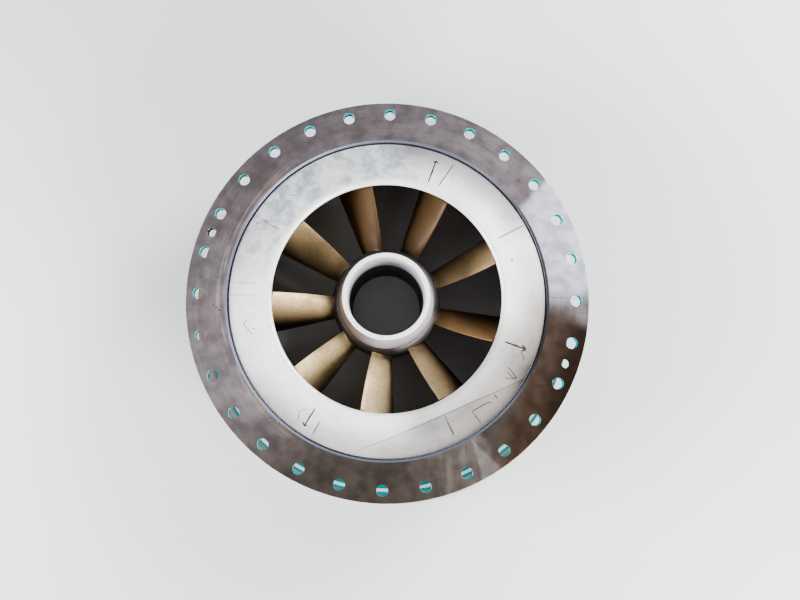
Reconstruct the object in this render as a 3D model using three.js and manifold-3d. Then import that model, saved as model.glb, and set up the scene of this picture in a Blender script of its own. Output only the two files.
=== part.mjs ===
// Guide vane ring of an axial-flow turbine: a drilled bolting flange, a bright throat ring, a flared
// casing with gusset ribs on a wide foot flange, nine twisted vanes and an open hub.
// Millimetres, +Z up, origin on the ground in the middle of the foot flange.
import * as THREE from 'three'
import { mergeVertices } from 'three/addons/utils/BufferGeometryUtils.js'
import Module from 'manifold-3d'

// Driving dimensions
const GAP = 0.3 // clearance left between pieces that are fastened face to face
const MERGE_DISTANCE = 1e-3
const RING_STEPS = 72 // facets round a large ring
const HUB_STEPS = 48 // facets round the hub
const HOLE_STEPS = 12 // facets round a bolt hole

const FLANGE_RADIUS = 487.5
const FLANGE_TOP = 284
const FLANGE_THICKNESS = 20
const FLANGE_BORE = 388
const FLANGE_CHAMFER = 4.5

const BOLT_CIRCLE = 457.2
const BOLT_COUNT = 28
const BOLT_HOLE_RADIUS = 14
const FIRST_BOLT_ANGLE = 138.5
const DOWEL_HOLE_RADIUS = 11
const DOWEL_PLACES = [1.5, 15.5] // on the bolt circle, in bolt pitches from the first bolt

const THROAT_RADIUS = 275
const THROAT_LIP_TOP = 292
const THROAT_LIP_RADIUS = 9
const THROAT_BASE = 250
const THROAT_EDGE_TOP = 276
const THROAT_EDGE_CHAMFER = 4
const THROAT_LEDGE_RADIUS = 420

const CASING_FLARE = 0.4 // growth of the radius for each millimetre down from the lip
const CASING_WALL = 9

const FOOT_RADIUS = 531
const FOOT_THICKNESS = 20

const RIB_COUNT = 14
const RIB_THICKNESS = 12
const RIB_TOP_RADIUS = 470
const RIB_FOOT_RADIUS = 505
const RIB_FIRST_PLACE = 0.5 // halfway between two bolts, in bolt pitches

const HUB_TOP = 303
const HUB_BORE = 94
const COLLAR_TOP_RADIUS = 105.5
const COLLAR_BASE_RADIUS = 121
const COLLAR_BASE = 196
const COLLAR_CHAMFER = 1.5
const SPIGOT_BASE = 186
const SPIGOT_RADIUS = 106
const DRUM_TOP_RADIUS = 118
const DRUM_RADIUS = 138.5
const DRUM_SHOULDER = 186 // height where the rounded shoulder meets the plain cylinder
const BASE_RING_RADIUS = 130
const BASE_RING_THICKNESS = 16

const VANE_COUNT = 9
const FIRST_VANE_ANGLE = 92.7 // the first vane's upper edge at the hub
const VANE_EDGE_LEAD = 2.8 // degrees that the upper edge gains from the hub to the casing
const VANE_ROOT = { top: 184, bend: 58, turn: 18.5 } // bend: depth over which the vane turns
const VANE_TIP = { top: 281, bend: 165, turn: 15.5 }
const VANE_BASE = 70
const VANE_THICKNESS = 14
const VANE_EDGE_THICKNESS = 3.5

const steel = { color: 0x8a8078, metalness: 0.8, roughness: 0.5 }
const bright = { color: 0xdcdcd6, metalness: 0.6, roughness: 0.35 }
const bronze = { color: 0xa88d58, metalness: 0.7, roughness: 0.45 }
const teal = { color: 0x108f8c, metalness: 0.1, roughness: 0.5 }
const darkSteel = { color: 0x3c3c40, metalness: 0.7, roughness: 0.5 }

const { degToRad, lerp } = THREE.MathUtils
const wasm = await Module()
wasm.setup()

const group = new THREE.Group()

/** Adds one named piece with a material of its own. */
function add(name, geometry, finish) {
  const mesh = new THREE.Mesh(geometry, new THREE.MeshStandardMaterial(finish))
  mesh.name = name
  group.add(mesh)
}

/** Turns a closed outline of [radius, height] points round the Z axis. */
function turned(outline, steps) {
  const points = [...outline, outline[0]].map(([radius, height]) => new THREE.Vector2(radius, height))
  return new THREE.LatheGeometry(points, steps).rotateX(Math.PI / 2)
}

/** A solid for cutting, from a closed geometry. */
function toSolid(geometry) {
  const bare = geometry.clone()
  bare.deleteAttribute('normal')
  bare.deleteAttribute('uv')
  const merged = mergeVertices(bare, MERGE_DISTANCE)
  return new wasm.Manifold(new wasm.Mesh({
    numProp: 3,
    vertProperties: new Float32Array(merged.attributes.position.array),
    triVerts: new Uint32Array(merged.index.array),
  }))
}

/** A geometry from a cut solid. */
function toGeometry(solid) {
  const mesh = solid.getMesh()
  const geometry = new THREE.BufferGeometry()
  geometry.setAttribute('position', new THREE.BufferAttribute(new Float32Array(mesh.vertProperties), 3))
  geometry.setIndex(new THREE.BufferAttribute(new Uint32Array(mesh.triVerts), 1))
  geometry.computeVertexNormals()
  return geometry
}

/** The angle of a place on the bolt circle, in radians. */
function boltAngle(place) {
  return degToRad(FIRST_BOLT_ANGLE + (place * 360) / BOLT_COUNT)
}

/** An upright cylinder that drills one hole on the bolt circle. */
function drill(place, radius) {
  const angle = boltAngle(place)
  return new THREE.CylinderGeometry(radius, radius, 2 * FLANGE_THICKNESS, HOLE_STEPS)
    .rotateX(Math.PI / 2)
    .translate(
      BOLT_CIRCLE * Math.cos(angle),
      BOLT_CIRCLE * Math.sin(angle),
      FLANGE_TOP - FLANGE_THICKNESS / 2,
    )
}

/** The inner radius of the flared water passage at a height below the lip. */
function casingRadius(height) {
  return THROAT_RADIUS + CASING_FLARE * (THROAT_LIP_TOP - THROAT_LIP_RADIUS - height)
}

// Bolting flange, drilled for the bolts and for two smaller dowels
const flangeBase = FLANGE_TOP - FLANGE_THICKNESS
let flange = toSolid(turned([
  [FLANGE_BORE, flangeBase],
  [FLANGE_RADIUS, flangeBase],
  [FLANGE_RADIUS, FLANGE_TOP],
  [FLANGE_BORE + FLANGE_CHAMFER, FLANGE_TOP],
  [FLANGE_BORE, FLANGE_TOP - FLANGE_CHAMFER],
], RING_STEPS))
for (let place = 0; place < BOLT_COUNT; place++) {
  flange = flange.subtract(toSolid(drill(place, BOLT_HOLE_RADIUS)))
}
for (const place of DOWEL_PLACES) {
  flange = flange.subtract(toSolid(drill(place, DOWEL_HOLE_RADIUS)))
}
add('bolting_flange', toGeometry(flange), steel)

// Throat ring: a coned bright face with a rounded inner lip, on a ledge that carries the flange
const ledgeTop = flangeBase - GAP
const throatEdge = FLANGE_BORE - GAP
const LIP_STEPS = 4
const lip = []
for (let step = 0; step <= LIP_STEPS; step++) {
  const turn = Math.PI / 2 + (step / LIP_STEPS) * (Math.PI / 2)
  lip.push([
    THROAT_RADIUS + THROAT_LIP_RADIUS * (1 + Math.cos(turn)),
    THROAT_LIP_TOP - THROAT_LIP_RADIUS * (1 - Math.sin(turn)),
  ])
}
add('throat_ring', turned([
  [casingRadius(THROAT_BASE), THROAT_BASE],
  [THROAT_LEDGE_RADIUS, THROAT_BASE],
  [THROAT_LEDGE_RADIUS, ledgeTop],
  [throatEdge, ledgeTop],
  [throatEdge, THROAT_EDGE_TOP - THROAT_EDGE_CHAMFER],
  [throatEdge - THROAT_EDGE_CHAMFER, THROAT_EDGE_TOP],
  ...lip,
], RING_STEPS), bright)

// Flared casing between the throat ring and the foot flange
const casingTop = THROAT_BASE - GAP
const casingBase = FOOT_THICKNESS + GAP
add('casing_cone', turned([
  [casingRadius(casingBase), casingBase],
  [casingRadius(casingBase) + CASING_WALL, casingBase],
  [casingRadius(casingTop) + CASING_WALL, casingTop],
  [casingRadius(casingTop), casingTop],
], RING_STEPS), teal)

add('foot_flange', turned([
  [casingRadius(0), 0],
  [FOOT_RADIUS, 0],
  [FOOT_RADIUS, FOOT_THICKNESS],
  [casingRadius(FOOT_THICKNESS), FOOT_THICKNESS],
], RING_STEPS), teal)

// Gusset ribs between the two flanges, one in every second gap between the bolt holes
const ribOutline = new THREE.Shape([
  new THREE.Vector2(casingRadius(casingBase) + CASING_WALL + 2 * GAP, casingBase),
  new THREE.Vector2(RIB_FOOT_RADIUS, casingBase),
  new THREE.Vector2(RIB_TOP_RADIUS, ledgeTop),
  new THREE.Vector2(THROAT_LEDGE_RADIUS + GAP, ledgeTop),
  new THREE.Vector2(THROAT_LEDGE_RADIUS + GAP, casingTop),
  new THREE.Vector2(casingRadius(casingTop) + CASING_WALL + 2 * GAP, casingTop),
])
for (let index = 0; index < RIB_COUNT; index++) {
  const plate = new THREE.ExtrudeGeometry(ribOutline, { depth: RIB_THICKNESS, bevelEnabled: false })
    .translate(0, 0, -RIB_THICKNESS / 2)
    .rotateX(Math.PI / 2)
    .rotateZ(boltAngle(RIB_FIRST_PLACE + (index * BOLT_COUNT) / RIB_COUNT))
  add(`gusset_rib_${index + 1}`, plate, teal)
}

// Hub: a bright tapered collar on a dark drum with a rounded shoulder, open right through
add('hub_collar', turned([
  [HUB_BORE, SPIGOT_BASE + GAP],
  [SPIGOT_RADIUS - GAP, SPIGOT_BASE + GAP],
  [SPIGOT_RADIUS - GAP, COLLAR_BASE + GAP],
  [COLLAR_BASE_RADIUS - COLLAR_CHAMFER, COLLAR_BASE + GAP],
  [COLLAR_BASE_RADIUS, COLLAR_BASE + GAP + COLLAR_CHAMFER],
  [COLLAR_TOP_RADIUS, HUB_TOP - COLLAR_CHAMFER],
  [COLLAR_TOP_RADIUS - COLLAR_CHAMFER, HUB_TOP],
  [HUB_BORE + COLLAR_CHAMFER, HUB_TOP],
  [HUB_BORE, HUB_TOP - COLLAR_CHAMFER],
], HUB_STEPS), bright)

/** The outer radius of the hub drum at a height: a quarter ellipse above a plain cylinder. */
function drumRadius(height) {
  if (height <= DRUM_SHOULDER) return DRUM_RADIUS
  const rise = Math.min((height - DRUM_SHOULDER) / (COLLAR_BASE - DRUM_SHOULDER), 1)
  return lerp(DRUM_TOP_RADIUS, DRUM_RADIUS, Math.sqrt(1 - rise * rise))
}

const SHOULDER_STEPS = 6
const shoulder = []
for (let step = 0; step <= SHOULDER_STEPS; step++) {
  const turn = (step / SHOULDER_STEPS) * (Math.PI / 2)
  const height = lerp(DRUM_SHOULDER, COLLAR_BASE, Math.sin(turn))
  shoulder.push([drumRadius(height), height])
}
add('hub_drum', turned([
  [HUB_BORE, BASE_RING_THICKNESS + GAP],
  [DRUM_RADIUS, BASE_RING_THICKNESS + GAP],
  ...shoulder,
  [SPIGOT_RADIUS, COLLAR_BASE],
  [SPIGOT_RADIUS, SPIGOT_BASE],
  [HUB_BORE, SPIGOT_BASE],
], HUB_STEPS), darkSteel)

add('hub_base_ring', turned([
  [HUB_BORE, 0],
  [BASE_RING_RADIUS, 0],
  [BASE_RING_RADIUS, BASE_RING_THICKNESS],
  [HUB_BORE, BASE_RING_THICKNESS],
], HUB_STEPS), darkSteel)

/** Half the thickness of a vane at a fraction of the way from its upper to its lower edge. */
function halfThickness(fraction) {
  const bulge = Math.sin(Math.PI * Math.sqrt(fraction))
  return lerp(VANE_EDGE_THICKNESS, VANE_THICKNESS, bulge) / 2
}

/** A point of a vane: how far across and down it lies, and on which side of the middle surface. */
function vanePoint(across, down, side, edgeAngle) {
  const top = lerp(VANE_ROOT.top, VANE_TIP.top, across)
  const bend = lerp(VANE_ROOT.bend, VANE_TIP.bend, across)
  const sweep = degToRad(lerp(VANE_ROOT.turn, VANE_TIP.turn, across))
  const depth = (top - VANE_BASE) * down
  const left = Math.max(1 - depth / bend, 0)
  const middle = top - depth
  const radius = lerp(DRUM_RADIUS, casingRadius(middle), across)
  const slope = Math.atan((2 * radius * sweep * left) / bend)
  const offset = side * halfThickness(down)
  const height = middle + offset * Math.sin(slope)
  const reach = lerp(DRUM_RADIUS + 2 * GAP, casingRadius(height) - 3 * GAP, across)
  const lead = degToRad(VANE_EDGE_LEAD) * across
  const angle = edgeAngle + lead + sweep * (1 - left * left) + (offset * Math.cos(slope)) / reach
  return new THREE.Vector3(reach * Math.cos(angle), reach * Math.sin(angle), height)
}

/** One vane: a block that is bent to the vane's surface. */
function vane(edgeAngle) {
  const SPAN_STEPS = 6
  const CHORD_STEPS = 14
  const block = new THREE.BoxGeometry(1, 1, 1, SPAN_STEPS, 1, CHORD_STEPS)
  const position = block.attributes.position
  for (let index = 0; index < position.count; index++) {
    const across = position.getX(index) + 0.5
    const side = position.getY(index) * 2
    const down = 0.5 - position.getZ(index)
    position.setXYZ(index, ...vanePoint(across, down, side, edgeAngle))
  }
  block.computeVertexNormals()
  return block
}

for (let index = 0; index < VANE_COUNT; index++) {
  add(`vane_${index + 1}`, vane(degToRad(FIRST_VANE_ANGLE - (index * 360) / VANE_COUNT)), bronze)
}

export default group
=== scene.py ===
"""A turbine's guide vane ring on a pale studio floor, seen from above.

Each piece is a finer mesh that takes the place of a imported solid. Lengths are metres and angles degrees,
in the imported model's own frame: +Z runs up the turbine's axis and the foot flange stands on the floor.
"""

import logging
import math
import random
from collections.abc import Callable, Iterable, Sequence
from dataclasses import dataclass
from enum import Enum
from functools import cache
from typing import NamedTuple

import bmesh
import bpy
from mathutils import Euler, Matrix, Vector


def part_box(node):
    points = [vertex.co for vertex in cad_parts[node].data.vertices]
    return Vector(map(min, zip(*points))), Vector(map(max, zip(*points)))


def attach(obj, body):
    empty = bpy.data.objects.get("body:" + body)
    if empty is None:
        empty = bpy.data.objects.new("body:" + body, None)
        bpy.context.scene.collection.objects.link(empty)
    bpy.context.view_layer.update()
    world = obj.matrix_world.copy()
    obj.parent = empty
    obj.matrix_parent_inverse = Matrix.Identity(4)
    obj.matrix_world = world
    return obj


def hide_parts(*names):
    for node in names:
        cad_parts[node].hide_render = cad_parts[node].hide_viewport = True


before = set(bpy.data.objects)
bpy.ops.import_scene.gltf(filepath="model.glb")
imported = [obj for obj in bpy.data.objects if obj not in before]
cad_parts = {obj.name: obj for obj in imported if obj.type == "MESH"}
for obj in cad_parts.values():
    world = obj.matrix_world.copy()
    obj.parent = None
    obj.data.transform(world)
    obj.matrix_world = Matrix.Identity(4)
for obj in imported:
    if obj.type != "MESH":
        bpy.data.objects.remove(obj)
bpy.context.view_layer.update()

LOG = logging.getLogger("guide_vane_ring")
ROOT = "root"
MM = 0.001

# The gap between two solids, and the distance below which two points are one
GAP = 0.3 * MM
MERGE = 0.002 * MM

# The rise from which a face looks upward, and the one from which it counts as level
UPWARD = 0.3
LEVEL = 0.8

# The angles from which an edge stays sharp, as a rule and on welds and drawn lines
SHARP = 32.0
SOFT = 80.0

# How strongly large flat faces pull the shading beside them, of 100
PULL = 90

Point = tuple[float, float]
Place = tuple[float, float, float]
Colour = tuple[float, float, float]
Choose = Callable[[Vector, Vector], int]
Mesh = bmesh.types.BMesh
Material = bpy.types.Material
Socket = bpy.types.NodeSocket
Value = Socket | float


class Slot(Enum):
    """Names of the material slots."""

    FLANGE = "flange_steel"
    BRIGHT = "bright_steel"
    TEAL = "teal_paint"
    DARK = "dark_steel"
    BRONZE = "bronze"


def lerp(first: float, second: float, share: float) -> float:
    """Returns the value that lies a share of the way from the first to the second."""
    return first + (second - first) * share


def tint(red: int, green: int, blue: int) -> Colour:
    """Turns a colour as seen on a screen, 0 to 255, into linear light."""
    parts = (value / 255 for value in (red, green, blue))
    return tuple(((value + 0.055) / 1.055) ** 2.4 for value in parts)


def polar(radius: float, angle: float, height: float) -> Vector:
    """Returns the point at a radius, an angle in radians and a height."""
    return Vector((radius * math.cos(angle), radius * math.sin(angle), height))


# Materials


class Nodes:
    """Adds nodes to a tree and links them."""

    def __init__(self, tree: bpy.types.NodeTree) -> None:
        """Takes the tree."""
        self.tree = tree

    def add(self, kind: str, *values: Value | Sequence[float], **options: object) -> bpy.types.Node:
        """Adds a node of a kind with its options, and feeds its inputs in order.

        Args:
            kind: the node's kind.
            values: what its first inputs take.
            options: its settings by their names.

        Returns:
            The node.
        """
        node = self.tree.nodes.new(kind)
        for name, option in options.items():
            setattr(node, name, option)
        for value, socket in zip(values, node.inputs):
            self.link(value, socket)
        return node

    def link(self, value: Value | Sequence[float], socket: Socket) -> None:
        """Feeds a socket from another socket, or sets it to a plain value.

        Args:
            value: another socket, or a plain value.
            socket: the socket that takes it.
        """
        if isinstance(value, bpy.types.NodeSocket):
            self.tree.links.new(value, socket)
        else:
            socket.default_value = value

    def ramp(self, value: Value, low: Value, high: Value, start: float = 0.0, end: float = 1.0) -> Socket:
        """Turns a value smoothly into start below low and end above high."""
        values = (value, low, high, start, end)
        return self.add("ShaderNodeMapRange", *values, interpolation_type="SMOOTHSTEP").outputs[0]

    def mix(self, share: Value, first: Socket | Colour, second: Socket | Colour) -> Socket:
        """Mixes two colours.

        Args:
            share: how much of the second shows.
            first: the colour at a share of 0.
            second: the colour at a share of 1.

        Returns:
            The mixed colour's socket.
        """
        node = self.add("ShaderNodeMix", share, data_type="RGBA")
        for colour, socket in ((first, node.inputs[6]), (second, node.inputs[7])):
            self.link((*colour, 1.0) if isinstance(colour, tuple) else colour, socket)
        return node.outputs[2]


class Graph(Nodes):
    """Builds one material, layer on layer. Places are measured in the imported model's frame."""

    def __init__(self, name: str, base: Colour) -> None:
        """Starts a material of that name with its lowest colour.

        Args:
            name: the material's name.
            base: its lowest colour.
        """
        self.material = bpy.data.materials.new(name)
        self.material.use_nodes = True
        super().__init__(self.material.node_tree)
        self.colour: Socket | Colour = base
        self.normal: Socket | None = None
        self.place = self.add("ShaderNodeTexCoord").outputs["Object"]
        self.x, self.y, self.z = self.add("ShaderNodeSeparateXYZ", self.place).outputs
        flat = self.vector(self.x, self.y, 0.0)
        self.radius = self.vector_math("LENGTH", flat, out="Value")
        self.heading = self.vector_math("NORMALIZE", flat)

    def vector(self, x: Value, y: Value, z: Value) -> Socket:
        """Joins three values into a vector."""
        return self.add("ShaderNodeCombineXYZ", x, y, z).outputs[0]

    def vector_math(self, operation: str, *values: Socket | Sequence[float], out: str = "Vector") -> Socket:
        """Adds a sum of vectors and returns its Vector or its Value."""
        return self.add("ShaderNodeVectorMath", *values, operation=operation).outputs[out]

    def math(self, operation: str, *values: Value) -> Socket:
        """Adds a sum of plain values."""
        return self.add("ShaderNodeMath", *values, operation=operation).outputs[0]

    def times(self, first: Value, *others: Value) -> Value:
        """Multiplies values.

        Args:
            first: the first value.
            others: the ones that multiply it.

        Returns:
            The product's socket, or the first value if it stands alone.
        """
        for other in others:
            first = self.math("MULTIPLY", first, other)
        return first

    def plus(self, first: Value, second: Value, factor: Value) -> Socket:
        """Adds to the first value the second, times a factor."""
        return self.math("MULTIPLY_ADD", second, factor, first)

    def band(self, value: Value, low: float, high: float, soft: float) -> Socket:
        """Returns 1 between low and high and 0 outside, with soft edges."""
        rise = self.ramp(value, low - soft, low + soft)
        return self.times(rise, self.ramp(value, high - soft, high + soft, 1.0, 0.0))

    def along(self, vector: Socket, heading: float) -> Socket:
        """Returns how far a vector reaches towards a heading."""
        return self.vector_math("DOT_PRODUCT", vector, polar(1.0, math.radians(heading), 0.0), out="Value")

    def toward(self, heading: float, low: float, high: float) -> Socket:
        """Returns a share that grows from 0 to 1 towards a heading, between two distances."""
        return self.ramp(self.along(self.place, heading), low, high)

    def facing(self, heading: float, low: float, high: float) -> Socket:
        """Returns a share that grows from 0 to 1 between two cosines of the angle from a heading."""
        return self.ramp(self.along(self.heading, heading), low, high)

    def noise(self, scale: float, detail: float = 3.0, roughness: float = 0.55,
              place: Socket | None = None) -> Socket:
        """Adds cloudy noise.

        Args:
            scale: how many clouds lie side by side in a metre.
            detail: how many finer layers are added.
            roughness: how strong the finer layers are.
            place: where it is read, or the object's own place.

        Returns:
            The noise's socket, about 0.5 on average.
        """
        node = self.add("ShaderNodeTexNoise", self.place if place is None else place)
        for name, value in (("Scale", scale), ("Detail", detail), ("Roughness", roughness)):
            self.link(value, node.inputs[name])
        return node.outputs["Fac"]

    def stretched(self, x: float, y: float, z: float) -> Socket:
        """Adds noise with a number of clouds in a metre for each axis."""
        return self.noise(1.0, 3.0, 0.5, self.vector_math("MULTIPLY", self.place, (x, y, z)))

    def turned(self, rings: float, along: float, detail: float = 2.0) -> Socket:
        """Adds noise drawn out round the axis, as a lathe leaves it.

        Args:
            rings: how many rings lie side by side in a metre.
            along: how quickly a ring changes on its way round.
            detail: how many finer layers are added.

        Returns:
            The noise's socket.
        """
        lift = self.vector(0.0, self.times(self.z, rings), self.times(self.radius, rings))
        way_round = self.vector_math("MULTIPLY", self.heading, (along, along, along))
        return self.noise(1.0, detail, place=self.vector_math("ADD", way_round, lift))

    def specks(self, scale: float) -> Socket:
        """Adds small scattered specks, so many side by side in a metre."""
        return self.ramp(self.noise(scale, 2.0), 0.70, 0.76)

    def between(self, noise: Socket, start: float, end: float) -> Socket:
        """Spreads noise out from start to end."""
        return self.ramp(noise, 0.3, 0.7, start, end)

    def lay(self, colour: Socket | Colour, *shares: Value) -> None:
        """Lays a colour over the ones below it, as strongly as the shares' product."""
        self.colour = self.mix(self.times(*shares), self.colour, colour)

    def feed(self, node: bpy.types.Node, values: dict[str, Value | None]) -> None:
        """Feeds a node's inputs by their names, and leaves alone the ones without a value.

        Args:
            node: the node.
            values: a value, a socket or nothing for each name.
        """
        for name, value in values.items():
            if value is not None:
                self.link(value, node.inputs[name])

    def relief(self, height: Socket, depth: float) -> None:
        """Adds relief on top of what is there.

        Args:
            height: the relief's height, from 0 to 1.
            depth: how deep it is, in metres.
        """
        node = self.add("ShaderNodeBump")
        self.feed(node, {"Distance": depth, "Height": height, "Normal": self.normal})
        self.normal = node.outputs["Normal"]

    def finish(self, metallic: float, roughness: Value, sheen: Value | None = None) -> Material:
        """Feeds the shader.

        Args:
            metallic: how metallic the surface is.
            roughness: how rough it is.
            sheen: its Specular IOR Level, where that isn't the usual one.

        Returns:
            The material.
        """
        self.feed(self.tree.nodes["Principled BSDF"], {
            "Base Color": self.colour, "Metallic": metallic, "Roughness": roughness,
            "Specular IOR Level": sheen, "Normal": self.normal,
        })
        return self.material


class Finish:
    """A finish that builds its own material. A pair says where a tone or a roughness starts and ends."""

    def make(self) -> Material:
        """Builds the material."""
        raise NotImplementedError


@cache
def material(finish: type[Finish]) -> Material:
    """Builds a finish's material when a piece first asks for it."""
    return finish().make()


@dataclass(frozen=True)
class FlangeSteel(Finish):
    """Machined flange steel: mauve grey on the left, a brown painted reflection in front, a painted
    reflection of a light and then painted shadow on the right, painted shade at the upper left, and dark
    brown specks.
    """

    mauve: Colour = tint(134, 127, 130)
    stain: Colour = tint(108, 98, 96)
    # Painted shade at the upper left and towards the outer edge.
    dim: Colour = tint(66, 62, 66)
    # The next two are the painted dark reflection in front.
    brown: Colour = tint(79, 71, 66)
    grey: Colour = tint(130, 121, 116)
    # The next two are painted shadow on the lower right; the second also colours dark brown specks all over.
    tan: Colour = tint(76, 60, 48)
    rust_and_shadow: Colour = tint(34, 25, 18)
    # A painted reflection of a light on the upper right.
    pale: Colour = tint(204, 208, 216)
    streak: Colour = tint(178, 167, 156)
    # A painted highlight in front.
    wedge: Colour = tint(180, 175, 172)
    wedge_heading: float = -61.0
    wedge_start: float = 0.387
    wedge_spread: float = 0.6
    inner_edge: Point = (0.392, 0.413)
    outer_edge: Point = (0.43, 0.487)
    metallic: float = 0.75
    roughness: Point = (0.34, 0.52)

    def front(self, g: Graph) -> None:
        """Lays the brown painted reflection in front, which grows lighter up to a painted highlight wedge.

        Args:
            g: the material's graph.
        """
        side = g.along(g.heading, self.wedge_heading + 90.0)
        left = g.times(g.ramp(side, -0.50, -0.02), g.ramp(side, 0.03, 0.09, 1.0, 0.0))
        grain = g.ramp(g.stretched(60.0, 5.0, 1.0), 0.35, 0.7, 0.35, 0.85)
        tone = g.mix(g.times(left, grain), self.brown, self.grey)
        # Painted dark reflection in front, lighter in a strip beside the painted highlight.
        g.lay(tone, g.toward(-80.0, 0.14, 0.40), g.ramp(g.noise(7.0, 5.0, 0.6), 0.2, 0.5, 0.85, 1.0))
        # A painted highlight, narrow at the inner edge and wider outward.
        half = g.times(g.math("SUBTRACT", g.radius, self.wedge_start), self.wedge_spread)
        outside = g.math("SUBTRACT", g.math("ABSOLUTE", side), half)
        g.lay(self.wedge, g.ramp(outside, -0.016, 0.006, 0.42, 0.0), g.ramp(g.y, -0.2, -0.1, 1.0, 0.0))

    def right(self, g: Graph) -> Socket:
        """Lays the painted reflection of a light on the upper right and the painted shadow on the lower
        right, and returns how deep that shadow is.

        Args:
            g: the material's graph.

        Returns:
            How deep the painted shadow lies on the face, from 0 to 1.
        """
        # Painted shadow on the lower right.
        g.lay(self.tan, g.toward(-16.0, 0.31, 0.39), g.toward(-120.0, -0.19, -0.14), 0.9)
        shadowed = g.times(g.toward(-19.0, 0.40, 0.475), g.toward(-120.0, -0.178, -0.145), 0.85)
        g.lay(self.rust_and_shadow, shadowed)
        # A painted reflection of a light on the upper right.
        bright = g.times(g.toward(-46.7, 0.066, 0.086), g.ramp(g.y, -0.04, 0.02))
        g.lay(self.pale, bright, g.ramp(g.noise(9.0, 3.0), 0.35, 0.65, 0.8, 0.95))
        return shadowed

    def make(self) -> Material:
        """Builds the material.

        Returns:
            The material.
        """
        g = Graph("flange_steel", self.mauve)
        g.lay(self.stain, g.ramp(g.turned(24.0, 2.4, 5.0), 0.40, 0.72, 0.0, 0.55))
        g.lay(self.stain, g.ramp(g.turned(150.0, 2.0, 4.0), 0.45, 0.72, 0.0, 0.4))
        # Painted shade at the upper left and towards the outer edge.
        g.lay(self.dim, g.toward(112.0, -0.02, 0.42), 0.24)
        g.lay(self.dim, g.ramp(g.radius, *self.outer_edge, 0.0, 0.14))
        inner = g.times(g.band(g.radius, *self.inner_edge, 0.006), g.toward(185.0, 0.10, 0.36))
        g.lay(self.streak, inner, g.ramp(g.turned(160.0, 3.0, 3.0), 0.45, 0.62), 0.6)
        self.front(g)
        shadowed = self.right(g)
        g.lay(self.rust_and_shadow, g.specks(70.0), 0.4)
        rough = g.between(g.noise(25.0, 4.0), *self.roughness)
        g.relief(g.turned(1400.0, 9.0), 0.04 * MM)
        g.relief(g.noise(30.0, 4.0), 0.25 * MM)
        # Rougher and less specular under the painted shadow.
        return g.finish(self.metallic, g.plus(rough, shadowed, 0.12), g.ramp(shadowed, 0.0, 1.0, 0.4, 0.15))


@dataclass(frozen=True)
class RingSteel(Finish):
    """Fine machined bright steel: near white, with bluish clouds at the back, painted shade towards its
    outer edge and on the front right, and a dark painted reflection over the front corner.
    """

    white: Colour = tint(247, 247, 245)
    blue: Colour = tint(148, 157, 169)
    warm: Colour = tint(208, 198, 186)
    # Painted shade; it also colours the turned streaks and specks.
    shade: Colour = tint(70, 65, 62)
    metallic: float = 0.2
    roughness: Point = (0.31, 0.44)
    # Where the dark painted reflection over the front corner begins, and how soft its edge is.
    reflection_heading: float = -68.2
    reflection_start: float = 0.309
    reflection_soft: float = 1.0 * MM
    # The bore wall, which gets painted shade.
    hub_bore: Point = (0.0942, 0.0955)
    opening: Point = (0.20, 0.25)
    lip: Point = (0.282, 0.302)
    rim: Point = (0.295, 0.38)
    # Where the warm painted shade on the front right lies.
    warm_shade_band: Point = (0.29, 0.36)

    def painted_shade_share(self, g: Graph) -> Socket:
        """Returns the share of painted shade: most at its outer edge and on the front right, and more under
        a dark painted reflection in the front corner.

        Args:
            g: the material's graph.

        Returns:
            The share of the shade's colour.
        """
        rim = g.ramp(g.radius, *self.rim)
        depth = g.ramp(g.y, -0.25, -0.10, 0.57, 0.26)
        depth = g.plus(depth, g.facing(-40.0, 0.76, 0.97), 0.10)
        depth = g.plus(depth, g.facing(-18.0, 0.93, 0.985), 0.3)
        depth = g.plus(depth, g.facing(55.0, 0.80, 0.93), 0.50)
        inner = g.times(g.facing(-48.0, 0.74, 0.92), g.ramp(rim, 0.0, 1.0, 0.52, 0.06))
        inner = g.times(inner, g.ramp(g.radius, *self.opening))
        # A dark painted reflection with a straight edge over the front corner.
        dark_reflection = g.toward(self.reflection_heading, self.reflection_start, self.reflection_start + self.reflection_soft)
        dark_reflection = g.times(dark_reflection, g.ramp(g.x, -0.12, 0.06), g.ramp(rim, 0.0, 1.0, 1.0, 0.5))
        return g.plus(g.plus(inner, rim, depth), dark_reflection, 0.17)

    def make(self) -> Material:
        """Builds the material.

        Returns:
            The material.
        """
        g = Graph("ring_steel", self.white)
        cloud = g.noise(30.0, 6.0, 0.7)
        large = g.noise(5.0, 3.0)
        g.lay(self.warm, g.ramp(large, 0.45, 0.65, 0.0, 0.2))
        # Painted shade on the bore wall.
        g.lay(self.blue, g.ramp(g.radius, *self.hub_bore, 0.5, 0.0))
        back = g.times(g.facing(120.0, 0.52, 0.86), g.ramp(g.radius, *self.lip))
        g.lay(self.blue, back, g.ramp(cloud, 0.35, 0.68, 0.3, 1.0), 0.95)
        # Warm painted shade on the front right.
        g.lay(self.warm, g.facing(-30.0, 0.6, 0.95), g.ramp(g.radius, *self.warm_shade_band, 0.0, 0.6))
        g.lay(self.blue, g.ramp(g.noise(55.0, 4.0, 0.6), 0.5, 0.72, 0.0, 0.2))
        # Painted shade.
        g.lay(self.shade, self.painted_shade_share(g), g.ramp(large, 0.2, 0.8, 0.9, 1.05))
        g.lay(self.shade, g.ramp(g.turned(220.0, 6.0, 3.0), 0.5, 0.75), 0.1)
        g.lay(self.shade, g.specks(140.0), 0.3)
        g.relief(g.turned(1500.0, 8.0), 0.03 * MM)
        g.relief(g.noise(14.0, 3.0), 0.3 * MM)
        return g.finish(self.metallic, g.between(cloud, *self.roughness))


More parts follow.
